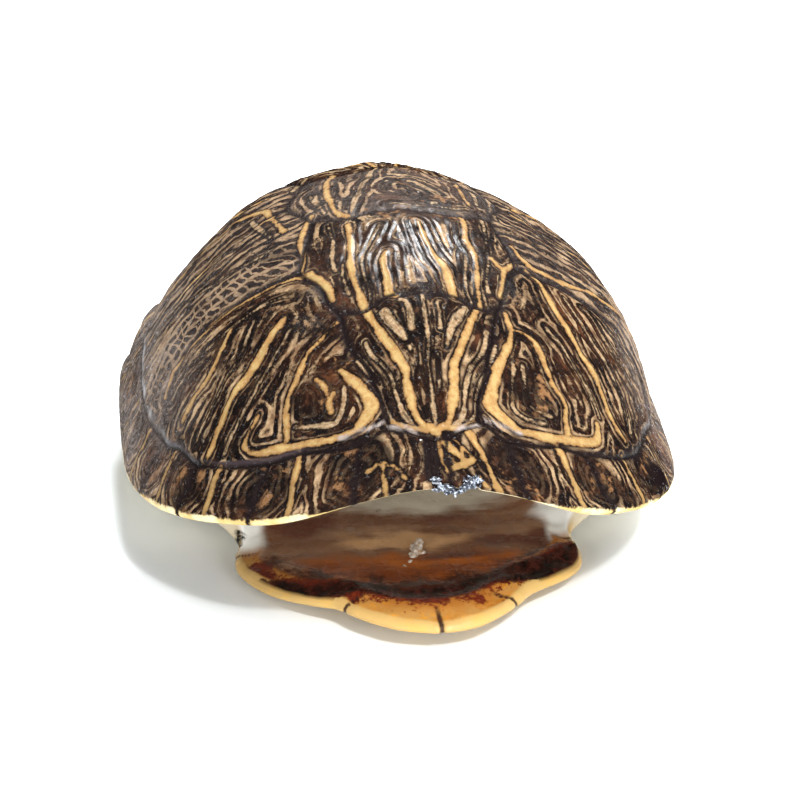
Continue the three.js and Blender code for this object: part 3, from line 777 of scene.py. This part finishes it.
# Gold bars, then the welt's dark horn with its painted purple-grey sheen.
colour = horn.coated(colour,
    (gold_mask, gold_tone),
    (horn.step(ragged * 0.3 + welt_at, 0.25, 0.7, 0.0, 0.85), WELT_HORN_SHEEN))
seam_mask = horn.step(ragged * 0.45 + seam_gap, 0.3, 1.05, 0.95, 0.0)
colour = horn.mix(seam_mask, colour, SEAM_HORN)
cream_edge = patchy * -3.4 + (ragged * 1.3 + edge_gap)
cream_mask = horn.step(cream_edge, -2.7, -1.9, 1.0, 0.0)
notches = horn.step(ragged * 1.4 + seam_gap, 0.4, 1.5)
cream_mask *= notches
rim_tone = horn.mix(horn.step(patchy, 0.42, 0.62), RIM_AMBER, RIM_CREAM)
colour = horn.mix(cream_mask, colour, rim_tone)
# The grey veil: partly worn horn, partly painted sheen and highlights, laid into the base colour.
veil = greyed * horn.noise(420, 4, 0.7)
veil *= horn.step(beads * 0.6 + fine, 0.55, 1.0, 0.25, 1.0)
colour = horn.mix(veil, colour, WORN_GREY_AND_SHEEN)
rough = horn.step(horn.noise(260, 5, 0.7), 0.3, 0.75, 0.16, 0.45)
polished = polish_at * horn.step(fine + broad, 0.66, 1.06)
flecks = horn.step(horn.noise(800, 3, 0.6), 0.60, 0.68, 0.0, 1.0)
bare_gloss = horn.most(welt_at * 0.7, crumple_at * 0.2)
bare_gloss = horn.most(bare_gloss, polished * 0.58)
horny = cream_mask * -0.85 + 1.0
fine_relief = stripe_mask * 0.3 + (broad * 0.5 + fine)
wrinkled = horn.bump(fine_relief * horny, 0.7, 0.0006)
pitted = horn.noise(1300, 5, 0.75) * horny
grained = horn.bump(pitted, 0.5, 0.0003, wrinkled)
creased = horn.bump(crumbs * crumple_at, 1.0, 0.0016, horn.bump(fine_relief, 0.14, 0.0004))
horn.dress(Base_Color=colour, Roughness=rough, Specular_IOR_Level=0.0,
    Coat_Weight=horn.most(flecks, bare_gloss), Coat_Roughness=0.3, Normal=grained,
    Coat_Normal=horn.bump(flecks, 1.0, 0.0008, creased))

bone = Finish("carapace_bone_finish")
cloud = bone.noise(45, 5, 0.6)
spots = bone.noise(420, 4, 0.7)
tone = bone.mix(bone.step(cloud, 0.35, 0.7), DRY_BONE, TAN_BONE)
tone = bone.mix(bone.step(spots, 0.55, 0.75, 0.0, 0.5), tone, SPOT_BROWN)
bone.dress(Base_Color=tone, Roughness=bone.step(cloud, 0.2, 0.8, 0.3, 0.55),
           Normal=bone.bump(spots, 0.3, 0.0006))

scene = bpy.context.scene


def stand(mesh, *finishes):
    """The piece made of that mesh, set in the scene in its finishes."""
    piece = bpy.data.objects.new(mesh.name, mesh)
    scene.collection.objects.link(piece)
    for finish in finishes:
        mesh.materials.append(finish.material)
    return piece


carapace = stand(carapace_mesh, horn, bone)
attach(carapace, "root")
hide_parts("carapace")

# --- Plastron -----------------------------------------------------------------------------------
# The flat lower half: a plate of bone under six pairs of amber horn scutes, with a lobe at each
# end and a bridge up to the marginals on each side. Here it is a sphere's net pressed flat.
FLOOR, SUTURE_GAP = 5.5, 0.4
BRIDGE_FROM, BRIDGE_TO = 73, 110
LOBE_FLAT, BRIDGE_FLAT, EDGE_ROUNDING = 0.72, 0.56, 0.9
FRONT_LEFT = [
    (0, -117.9, 5.6), (-9.8, -115.3, 5.6), (-16.4, -111.3, 5.6), (-21.6, -106.8, 5.6),
    (-26.4, -101, 5.1), (-32.2, -97.5, 4.4), (-42.5, -89.6, 3.2), (-49.4, -80.3, 2.4),
    (-53.4, -71, 2.2), (-53.6, -62.6, 2.4), (-52.4, -57, 3.4),
]
FRONT_RIGHT = [
    (0, -117.9, 5.6), (7, -117, 5.6), (13, -114.8, 5.6), (19.5, -109.9, 5.6), (25.6, -103.7, 5.5),
    (30.9, -96.6, 5.2), (39.3, -89.9, 4.8), (44.6, -85.5, 4.6), (49, -79.5, 4.6),
    (50.3, -72.9, 5), (49.6, -66.4, 5), (50, -59, 5.4),
]
SHOULDERS = [((55.5, -51, 6), (52.4, -49.8, 10.4)), ((66, -47.5, 13.4), (60.8, -44.8, 17))]
LIP_INSET, LIP_THICKNESS = 1.9, 2.4
REAR_LOBE = [
    ((70, 49.5, 17.6), (63, 46.4, 20)), ((58.5, 51.5, 8.4), (54.4, 49.6, 12.4)),
    ((52, 58, 3.4), (49.6, 57.4, 8.4)), ((49.6, 74, 2.4), (47.4, 73.4, 7.6)),
    ((40.5, 97, 3.2), (38.8, 95.4, 8)), ((26, 108.5, 4), (25, 106.4, 8.6)),
    ((12, 109.5, 4.2), (11.6, 107.2, 8.8)), ((0, 102.5, 4), (0, 100.4, 8.6)),
]
FLOOR_ROWS, EDGE_ROWS, BASE_ROWS, FLAT_ROWS, LOBE_STEPS = 44, 4, 34, 14, 12


def through(points):
    """Smooth curve through the points, evenly eased between them (a centripetal spline)."""
    points = np.array(points, float)
    points = np.vstack([2 * points[0] - points[1], points, 2 * points[-1] - points[-2]])
    line = []
    for p0, p1, p2, p3 in zip(points[:-3], points[1:-2], points[2:-1], points[3:]):
        d0, d1, d2 = [np.sqrt(np.linalg.norm(b - a)) for a, b in ((p0, p1), (p1, p2), (p2, p3))]
        t1 = ((p1 - p0) / d0 - (p2 - p0) / (d0 + d1) + (p2 - p1) / d1) * d1
        t2 = ((p2 - p1) / d1 - (p3 - p1) / (d1 + d2) + (p3 - p2) / d2) * d1
        for u in np.linspace(0, 1, LOBE_STEPS, endpoint=False):
            line.append((2 * u**3 - 3 * u**2 + 1) * p1 + (u**3 - 2 * u**2 + u) * t1
                        + (3 * u**2 - 2 * u**3) * p2 + (u**3 - u**2) * t2)
    line.append(points[-2])
    return np.array(line)


def underside_point(angle, depth):
    at = rim_point(angle)
    way = np.stack([-at[:, 0], APEX_Y - at[:, 1]], axis=1)
    way /= np.linalg.norm(way, axis=1, keepdims=True)
    at[:, :2] += way * (0.9 + (RIM_DEPTH - 0.9) * depth)
    at[:, 2] += RIM_UNDERCUT * depth - RIM_THICKNESS / 2
    return at


def front_lobe(points, side):
    """Lower and upper edge of one half of the front lobe, on to the bridge."""
    edge_low = np.array(points, float)
    inward = edge_low[:, :2] / np.linalg.norm(edge_low[:, :2], axis=1, keepdims=True)
    edge_high = edge_low + np.column_stack([-LIP_INSET * inward,
        np.full(len(edge_low), LIP_THICKNESS)])
    ends = np.array(SHOULDERS, float) * [side, 1, 1]
    return through([*edge_low, *ends[:, 0]]), through([*edge_high, *ends[:, 1]])


bridge_angles = np.linspace(BRIDGE_FROM, BRIDGE_TO, 75)
drop = np.array([0, 0, SUTURE_GAP])
flip = np.array([-1, 1, 1])
rear_low, rear_high = [through([point[i] for point in REAR_LOBE]) for i in (0, 1)]
bridge_low = underside_point(bridge_angles, 0.12) - drop
bridge_high = underside_point(bridge_angles, 1.0) - drop
right_low, right_high = front_lobe(FRONT_RIGHT, 1)
left_low, left_high = front_lobe(FRONT_LEFT, -1)
low = np.vstack([right_low, bridge_low, rear_low, (rear_low * flip)[-2::-1],
                 (bridge_low * flip)[::-1], left_low[:0:-1]])
high = np.vstack([right_high, bridge_high, rear_high, (rear_high * flip)[-2::-1],
                  (bridge_high * flip)[::-1], left_high[:0:-1]])

plate_rows = FLOOR_ROWS + EDGE_ROWS + BASE_ROWS
plastron_mesh, net, row = sphere_net("plastron_plate", len(low), plate_rows)
column = (np.arctan2(net[:, 0], -net[:, 1]) % (2 * np.pi)) / (2 * np.pi) * len(low)
column = np.rint(column).astype(int) % len(low)
lower, upper = low[column], high[column]
bridge = smooth(lower[:, 2], 6, 18)

on_floor = row <= FLOOR_ROWS
out = np.clip(row / FLOOR_ROWS, 0, 1) ** 0.8
floor_place = np.stack([
    upper[:, 0] * out, upper[:, 1] * out,
    FLOOR + (upper[:, 2] - FLOOR) * out ** (2.6 + 0.8 * bridge)], axis=1)
from_edge = np.linalg.norm(floor_place[:, :2] - upper[:, :2], axis=1)
# Behind the lip of the front lobe lies a low ridge.
in_front = smooth(-upper[:, 1], 60, 84)
floor_place[:, 2] += 1.7 * in_front * bell(from_edge - 9.5, 5.0)
down_edge = np.clip((row - FLOOR_ROWS) / EDGE_ROWS, 0, 1)
edge_place = upper + (lower - upper) * down_edge[:, None]
middle = (upper + lower) / 2
outwards = middle[:, :2] / np.maximum(np.linalg.norm(middle[:, :2], axis=1, keepdims=True), 1e-6)
bulge = EDGE_ROUNDING * (1 - bridge) * np.sin(np.pi * down_edge)
edge_place[:, :2] += outwards * bulge[:, None]
under = np.clip((plate_rows - row - FLAT_ROWS) / (BASE_ROWS - FLAT_ROWS), 0, 1)
flat = LOBE_FLAT + (BRIDGE_FLAT - LOBE_FLAT) * bridge
out_below = flat * np.clip((plate_rows - row) / FLAT_ROWS, 0, 1) + (1 - flat) * under
base_place = np.stack([
    lower[:, 0] * out_below, lower[:, 1] * out_below,
    lower[:, 2] * under ** (2 - 0.5 * bridge)], axis=1)
base_place[row == plate_rows] = 0
place = np.where(on_floor[:, None], floor_place,
                 np.where((row < FLOOR_ROWS + EDGE_ROWS)[:, None], edge_place, base_place))

# Seams: one down the middle and five across, and each scute's own rim on the lip in front.
PLASTRON_SEAMS = [
    [(2, -120), (1, -100), (-1, -60), (1, -20), (0, 30), (-1, 112)],
    [(28, -106), (14, -97), (0, -92)],
    [(56, -64), (30, -66), (0, -63)],
    [(60, -30), (28, -29), (0, -26)],
    [(56, 34), (28, 32), (0, 34)],
    [(50, 76), (24, 78), (0, 84)],
]
at = np.stack([np.abs(place[:, 0]), place[:, 1]], axis=1)
seam = np.min([distance_to(place[:, :2], PLASTRON_SEAMS[0]),
               *[distance_to(at, line) for line in PLASTRON_SEAMS[1:]]], axis=0)
# Underneath the net is coarse, so there each seam has its own signed distance, which stays sharp.
crossings = [place[:, 1] - np.interp(at[:, 0], *zip(*line[::-1])) for line in PLASTRON_SEAMS[1:]]
middle_x, middle_y = zip(*PLASTRON_SEAMS[0])
crossings.append(place[:, 0] - np.interp(place[:, 1], middle_y, middle_x))
lip = np.linalg.norm(place[:, :2] - upper[:, :2], axis=1)
lip = np.where(on_floor, lip, 0.0)
horn_reach = lip + 5.5 * smooth(-place[:, 0], 16, 36) * smooth(-place[:, 1], 60, 70)
TISSUE = [
    (-51, -77.8), (-46.5, -85.5), (-39.4, -90.2), (-32.4, -93.6), (-26, -94.2), (-21.8, -95.4),
    (-17.5, -95.5), (-10.3, -97.5), (-2.9, -98.5), (1.9, -99), (7.6, -98), (15.8, -93),
    (23.6, -90), (31.4, -87.6), (37.8, -84.5), (43.7, -80.5), (48.5, -76),
]
TISSUE_WIDTHS = [1.4, 2.8, 3.9, 4.1, 3.8, 3.0, 3.6, 4.6, 5.2, 5.2, 4.0, 3.6, 3.4, 4.2, 5.2, 6.0,
    6.4]
tissue = distance_to(place[:, :2], TISSUE)
tissue -= np.interp(place[:, 0], [x for x, _ in TISSUE], TISSUE_WIDTHS)
top = np.where(on_floor, 1.0, 0.0)
groove = 0.45 * bell(seam, 0.7) * np.where(on_floor, smooth(-lip, -9, -5), 1.0)
dents = 0.22 * waves(place, 13, 31) + 0.1 * waves(place, 5, 32)
ridge = bell(tissue, 2.2) * top
depth = np.where(on_floor, dents * smooth(out, 0, 0.1) - groove + ridge * 0.6, 0.0)
place[:, 2] += depth
place[:, :2] -= outwards * (groove * (1 - top))[:, None]

shape(plastron_mesh, place)
keep(plastron_mesh, seam=seam, lip=lip, reach=horn_reach, tissue=tissue, top=top,
     crossings_0=tuple(crossings[:3]), crossings_3=tuple(crossings[3:]))
# Stains of the bone inside, in the plan: grey-white, tan, rust, brown, ivory walls, olive horn.
x, y = place[:, 0] + 3.0 * waves(place, 16, 33), place[:, 1] + 2.0 * waves(place, 13, 34)


def patch(centre, radii):
    return np.exp(-(((x - centre[0]) / radii[0]) ** 2) - ((y - centre[1]) / radii[1]) ** 2)


pale = np.maximum(patch((6, -30), (26, 13)), smooth(y, -34, -8) * 0.8)
tan = patch((-2, -61), (22, 7))
rust = smooth(-y, 65, 76) * (1 - smooth(np.abs(x + 3), 26, 42))
brown = np.clip(patch((-32, -47), (15, 8)) + patch((30, -62), (15, 5))
    + 0.9 * patch((12, -72), (14, 4)) + 0.8 * patch((12, -47), (14, 4))
    + patch((42, -70), (7, 10)), 0, 1)
walls = np.abs(x) + 0.35 * place[:, 2] - smooth(-x, 0, 10)
walls = smooth(walls, 39.5, 49.5) * smooth(y, -76, -62)
olive = patch((-49, -73), (6, 5)) * top
keep(plastron_mesh, deep=(pale, tan, rust), shade=(brown, walls, olive))

AMBER = (0.42, 0.155, 0.018)
PALE_AMBER = (0.45, 0.235, 0.065)
MAROON = (0.080, 0.010, 0.006)
DEEP_AMBER = (0.56, 0.21, 0.018)
ORANGE = (0.66, 0.27, 0.015)
OLIVE_HORN = (0.36, 0.21, 0.075)
LIP_CREAM = (0.62, 0.47, 0.22)
LIP_AMBER = (0.55, 0.36, 0.1)
RUST_HORN = (0.33, 0.105, 0.014)
PALE_MAROON = (0.16, 0.025, 0.008)
FLOOR_BROWN = (0.18, 0.078, 0.04)
FLOOR_TAN = (0.3, 0.165, 0.095)
GREY_BONE = (0.66, 0.6, 0.5)
TAN_STAIN = (0.62, 0.36, 0.18)
RUST = (0.46, 0.125, 0.018)
DARK_RUST = (0.2, 0.048, 0.012)
BROWN_STAIN = (0.13, 0.045, 0.025)
SPECK_BROWN = (0.07, 0.025, 0.015)
BAND_BROWN = (0.045, 0.01, 0.006)
IVORY = (0.96, 0.965, 0.93)
UNDERSIDE_CREAM = (0.66, 0.62, 0.53)
BRIDGE_CREAM = (0.62, 0.57, 0.44)
TISSUE_BLACK = (0.006, 0.0035, 0.003)
TISSUE_RED = (0.07, 0.014, 0.008)
SEAM_BROWN = (0.03, 0.012, 0.01)
NOTCH_BROWN = (0.012, 0.01, 0.009)

plate = Finish("plastron_finish")
seam_gap = plate.attribute("seam")
lip_gap = plate.attribute("lip")
tissue_gap = plate.attribute("tissue")
on_top = plate.attribute("top")
gap_below = None
for name in ("crossings_0", "crossings_3"):
    for signed in plate.split(plate.attribute(name, "Vector")):
        gap = plate.sum("ABSOLUTE", signed)
        gap_below = gap if gap_below is None else plate.least(gap_below, gap)
gap_below *= 1.0 - on_top
seam_gap = seam_gap * on_top + gap_below
coarse = plate.noise(60, 4, 0.6)
medium = plate.noise(220, 5, 0.65)
small = plate.noise(900, 4, 0.7)
side, length, height = plate.split(plate.place)
smeared = plate.noise(1.0, 5, 0.65, plate.move("MULTIPLY", plate.place, (22.0, 130.0, 60.0)))

pale, tanned, rusted = plate.split(plate.attribute("deep", "Vector"))
browned, walled, olive = plate.split(plate.attribute("shade", "Vector"))

# Horn of the lip and the underside: amber, paler in patches, stained maroon towards the tissue.
blots = plate.noise(120, 4, 0.7)
horn_tone = plate.mix(plate.step(coarse, 0.40, 0.60), AMBER, PALE_AMBER)
horn_tone = plate.coated(horn_tone,
    (plate.step(medium, 0.45, 0.7, 0.0, 0.6), DEEP_AMBER),
    (plate.step(blots, 0.54, 0.66, 0.0, 0.85), ORANGE),
    (olive * 0.9, OLIVE_HORN),
    (plate.step(lip_gap, 0.2, 2.2, 0.7, 0.0), plate.mix(coarse, LIP_CREAM, LIP_AMBER)),
    (plate.step(medium * 5.0 + lip_gap, 4.5, 12.0, 0.0, 0.75) * on_top, RUST_HORN))
stain_edge = tissue_gap * 0.05 + (small * 0.55 + medium)
stain_edge = plate.least(stain_edge, tissue_gap * 0.032 + (blots * 1.5 + 0.06))
stains = plate.step(stain_edge, 0.8, 0.93, 1.0, 0.0) * on_top
stains *= plate.step(lip_gap, 0.6, 2.0)
specks = plate.noise(520, 4, 0.7) * plate.step(lip_gap, 0.8, 3.0, 0.75, 1.0)
stains = plate.most(stains, plate.step(specks, 0.64, 0.7, 0.0, 0.9))
horn_tone = plate.mix(stains, horn_tone,
    plate.mix(plate.step(small, 0.4, 0.6), MAROON, PALE_MAROON))

# Bone inside: rust-orange behind the tissue, greyer further back, ivory up the bridges.
def stained(share, low, high):
    return plate.step(smeared * 0.9 + share, low, high)


floor_tone = plate.mix(plate.step(smeared, 0.35, 0.65), FLOOR_BROWN, FLOOR_TAN)
floor_tone = plate.coated(floor_tone,
    (stained(pale, 0.60, 1.15), GREY_BONE),
    (stained(tanned, 0.70, 1.25), TAN_STAIN))
rust_tone = plate.mix(plate.step(smeared, 0.38, 0.62), RUST, DARK_RUST)
floor_tone = plate.coated(floor_tone,
    (stained(rusted, 0.55, 1.55), rust_tone),
    (stained(browned, 0.72, 1.30), BROWN_STAIN),
    (plate.step(medium, 0.60, 0.78, 0.0, 0.6), SPECK_BROWN))
near_band = tissue_gap * 0.045 + (small * 0.4 + (medium + (coarse * 1.2 - 0.6)))
floor_tone = plate.coated(floor_tone,
    (plate.step(near_band, 0.78, 1.08, 0.95, 0.0), BAND_BROWN),
    (plate.step(smeared * 0.3 + walled, 0.35, 1.0), IVORY))
lip_edge = medium * 4.0 + plate.attribute("reach")
is_lip = plate.step(lip_edge, 12.5, 15.0, 1.0, 0.0)
lobes = plate.most(plate.step(length, -0.066, -0.058, 1.0, 0.0), plate.step(length, 0.052, 0.06))
is_lip *= plate.most(lobes, 1.0 - on_top)
below = (1.0 - on_top) * plate.step(height, 0.0, 0.003, 1.0, 0.0)
horn_tone = plate.mix(below * 0.85, horn_tone, UNDERSIDE_CREAM)
beside = (1.0 - on_top) * plate.step(length, -0.06, -0.052)
horn_tone = plate.mix(beside * 0.75, horn_tone, BRIDGE_CREAM)
colour = plate.mix(is_lip, floor_tone, horn_tone)
tissue_edge = medium * -9.0 + (small * -3.0 + tissue_gap)
tissue_edge = coarse * -9.0 + (tissue_edge + 6.0)
dark = plate.step(tissue_edge, -5.2, -3.8, 1.0, 0.0) * on_top
colour = plate.mix(dark, colour, plate.mix(plate.step(medium, 0.35, 0.7), TISSUE_BLACK,
    TISSUE_RED))
seam_dark = plate.step(small * 0.8 + seam_gap, 0.7, 1.5, 0.95, 0.0)
seam_dark *= plate.step(lip_gap, 4.0, 9.0, 1.0, 0.0)
seam_dark *= plate.most(lobes, 1.0 - on_top)
colour = plate.mix(seam_dark, colour, SEAM_BROWN)
# Painted shade: a near-black patch in the left axillary notch, under the bridge.
notch_gap = plate.made("ShaderNodeVectorMath", {0: plate.place, 1: (-0.0535, -0.0565, 0.0065)},
                       "Value", operation="DISTANCE")
notch_shade = plate.step(medium * -0.008 + notch_gap, -0.0014, 0.0002, 1.0, 0.0)
colour = plate.mix(notch_shade, colour, NOTCH_BROWN)
plate.dress(Base_Color=colour, Roughness=plate.step(medium, 0.3, 0.8, 0.16, 0.42),
            Specular_IOR_Level=0.06, Coat_Weight=0.12, Coat_Roughness=0.12,
            Normal=plate.bump(small, 0.3, 0.0005))

plastron = stand(plastron_mesh, plate)
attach(plastron, "root")
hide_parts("plastron")

# --- Broken rim ---------------------------------------------------------------------------------
# A crust of splintered bone and dried varnish hangs where the front rim is broken away. Each flake
# is a small faceted lump, flattened and turned its own way.
rng = np.random.default_rng(7)
bm = bmesh.new()
for _ in range(260):
    across_rim = rng.uniform(0.0, 1.0)
    sag = 0.0022 * np.sin(np.pi * min(across_rim * 1.15, 1.0)) ** 2
    centre = Vector((-0.0034 + 0.0134 * across_rim, -0.1222 + 0.0009 * rng.normal(),
                     0.0545 - sag + 0.0009 * rng.uniform(-1.6, 1.3)))
    size = 0.00035 + 0.0005 * rng.random() ** 2
    turned = Matrix.Rotation(rng.uniform(0, 6.28), 4, Vector(rng.normal(size=3)).normalized())
    lump = Matrix.Diagonal((size * rng.uniform(0.8, 2.0), size, size * rng.uniform(0.25, 0.7), 1))
    bmesh.ops.create_icosphere(bm, subdivisions=1, radius=1.0,
                               matrix=Matrix.Translation(centre) @ turned @ lump)
crust_mesh = finished("rim_crust", bm)
flakes = Finish("crust_finish")
flaky = flakes.noise(900, 4, 0.7)
crust_tone = flakes.mix(flakes.step(flaky, 0.47, 0.62), (0.02, 0.024, 0.036), (0.50, 0.55, 0.64))
flakes.dress(Base_Color=crust_tone, Roughness=flakes.step(flaky, 0.3, 0.7, 0.25, 0.6),
             Normal=flakes.bump(flaky, 0.5, 0.0004))
crust = stand(crust_mesh, flakes)
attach(crust, "root")

# --- Dried tissue -------------------------------------------------------------------------------
# A whitish shred of dried tissue stuck to the floor behind the front lobe, with a tail forwards.
bm = bmesh.new()
for x, y, z, size in [(0.6, -69.0, 7.0, 1.9), (1.6, -66.2, 7.8, 1.6), (-0.8, -71.6, 6.3, 1.2),
                      (-2.4, -74.6, 6.0, 0.9), (-3.6, -77.4, 5.9, 0.7), (-5.2, -80.2, 5.9, 0.5),
                      (2.2, -69.6, 6.6, 1.1), (0.0, -65.6, 6.9, 0.9), (2.6, -64.4, 7.4, 0.8)]:
    bmesh.ops.create_icosphere(bm, subdivisions=3, radius=size * 0.001,
        matrix=Matrix.Translation((x * 0.001, y * 0.001, z * 0.001)) @ Matrix.Diagonal((1, 1.2,
        0.6, 1)))
for vertex in bm.verts:
    vertex.co += vertex.normal * 0.0009 * noise.noise(vertex.co * 700)
shred_mesh = finished("dried_tissue", bm)
shred_mesh.polygons.foreach_set("use_smooth", np.ones(len(shred_mesh.polygons), dtype=bool))
dried = Finish("tissue_finish")
shredded = dried.noise(700, 4, 0.7)
shred_tone = dried.mix(dried.step(shredded, 0.35, 0.65), (0.30, 0.17, 0.09), (0.66, 0.60, 0.52))
dried.dress(Base_Color=shred_tone, Roughness=0.4, Normal=dried.bump(shredded, 0.5, 0.0004))
shred = stand(shred_mesh, dried)
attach(shred, "root")

# --- Floor, light and camera --------------------------------------------------------------------
# A plain white table top under soft daylight from the upper right and behind.
bm = bmesh.new()
bmesh.ops.create_grid(bm, x_segments=1, y_segments=1, size=4.0)
table_mesh = finished("table_top", bm)
paper = Finish("table_paper")
paper_tone = paper.mix(paper.noise(3, 2), (0.91, 0.955, 0.99), (0.90, 0.945, 0.98))
paper.dress(Base_Color=paper_tone, Roughness=0.9, Specular_IOR_Level=0.0)
table = stand(table_mesh, paper)

scene.view_settings.view_transform = "Standard"
world = bpy.data.worlds.new("pale_room")
world.use_nodes = True
world.node_tree.nodes["Background"].inputs["Color"].default_value = (0.95, 0.98, 1.0, 1.0)
world.node_tree.nodes["Background"].inputs["Strength"].default_value = 0.34
scene.world = world


def soft_light(name, position, aim, size, power, tone):
    data = bpy.data.lights.new(name, "AREA")
    data.shape = "DISK"
    data.size = size
    data.energy = power
    data.color = tone
    light = bpy.data.objects.new(name, data)
    scene.collection.objects.link(light)
    light.location = position
    light.rotation_mode = "QUATERNION"
    light.rotation_quaternion = (Vector(aim) - Vector(position)).to_track_quat("-Z", "Y")


soft_light("window", (0.15, 0.54, 1.10), (0.0, -0.03, 0.08), 0.50, 31.0, (0.97, 0.99, 1.0))
soft_light("ceiling", (0.40, -0.55, 1.15), (0.0, -0.05, 0.04), 0.7, 13.0, (1.0, 0.99, 0.98))
soft_light("room_left", (-0.70, -1.25, 0.34), (0.0, -0.05, 0.02), 0.7, 9.5, (0.98, 0.99, 1.0))
soft_light("room_right", (0.70, -1.25, 0.34), (0.0, -0.05, 0.02), 0.7, 9.5, (0.98, 0.99, 1.0))
soft_light("lamp", (0.30, -0.70, 0.95), (0.0, -0.05, 0.06), 0.07, 5.5, (1.0, 0.99, 0.97))

AZIMUTH, ELEVATION, ROLL = -7.054, 22.521, 1.352
CAMERA_AIM, CAMERA_DISTANCE, LENS, SENSOR_WIDTH = (-0.00283, -0.040, 0.04503), 0.6, 88.33, 36.0
azimuth, elevation, roll = np.radians((AZIMUTH, ELEVATION, ROLL))
back = Vector((np.sin(azimuth) * np.cos(elevation), -np.cos(azimuth) * np.cos(elevation),
               np.sin(elevation)))
right = (-back).cross(Vector((0, 0, 1))).normalized()
up = right.cross(-back)
turned_right = right * np.cos(roll) + up * np.sin(roll)
turned_up = up * np.cos(roll) - right * np.sin(roll)
camera_data = bpy.data.cameras.new("camera")
camera_data.lens = LENS
camera_data.sensor_width = SENSOR_WIDTH
camera = bpy.data.objects.new("camera", camera_data)
scene.collection.objects.link(camera)
axes = Matrix((turned_right, turned_up, back)).transposed().to_4x4()
camera.matrix_world = Matrix.Translation(Vector(CAMERA_AIM) + back * CAMERA_DISTANCE) @ axes
scene.camera = camera
